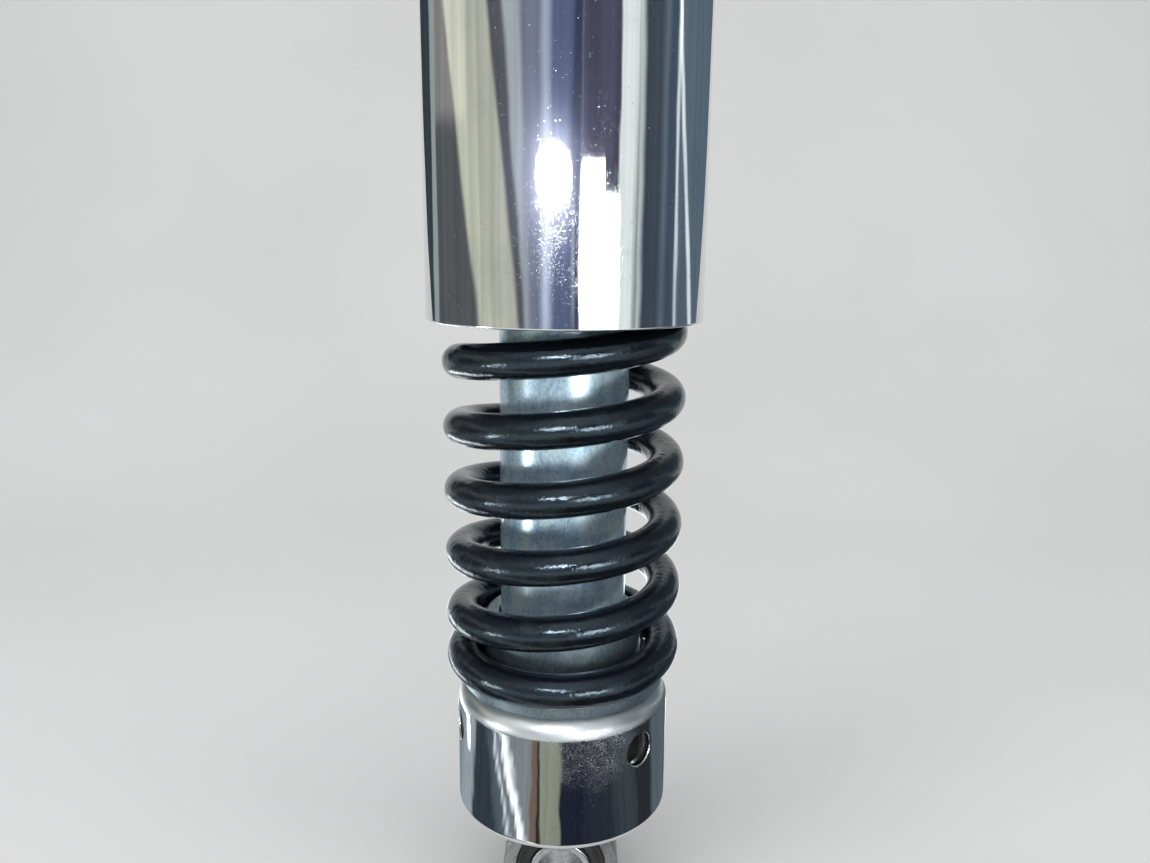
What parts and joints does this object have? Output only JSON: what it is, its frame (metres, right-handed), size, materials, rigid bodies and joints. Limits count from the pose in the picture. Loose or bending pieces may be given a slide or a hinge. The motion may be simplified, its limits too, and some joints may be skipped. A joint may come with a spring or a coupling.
{
  "type": "rear shock absorber of a cruiser motorcycle",
  "caption": "Coil-over rear shock absorber with a long top cover, an open coil spring over a tube, a preload adjuster cup and a bushed eye at each end.",
  "frame": {"origin": "centre of the upper eye's bolt hole", "axes": "+Z along the damper axis towards the upper eye, eyes' bolt axes along Y; the side seen in the picture faces -Y"},
  "size_m": [0.0672, 0.0672, 0.335],
  "materials": {
    "zinc": "zinc plated",
    "chrome": "polished",
    "spring_paint": "gloss",
    "rubber": "matt",
    "steel": "ground",
    "seat_zinc": "zinc plated"
  },
  "bodies": {
    "upper": {"upper_eye": "chrome", "upper_bush": "rubber", "upper_sleeve": "steel", "top_cover": "chrome", "upper_spring_seat": "seat_zinc", "lock_nut": "zinc", "piston_rod": "steel", "bump_stop": "rubber", "spring": "spring_paint"},
    "lower": {"body_tube": "zinc", "rod_guide": "zinc", "dust_seal": "rubber", "lower_spring_seat": "seat_zinc", "adjuster_cup": "chrome", "preload_cam": "seat_zinc", "stop_collar": "zinc", "lower_eye": "zinc", "lower_bush": "rubber", "lower_sleeve": "steel"}
  },
  "joints": [
    {"name": "stroke", "type": "slide", "parent": "upper", "child": "lower", "axis": [0, 0, 1], "range_m": [0, 0.076], "stiffness_N_per_m": 28000, "springref_m": -0.012, "deforming": ["spring"]}
  ]
}
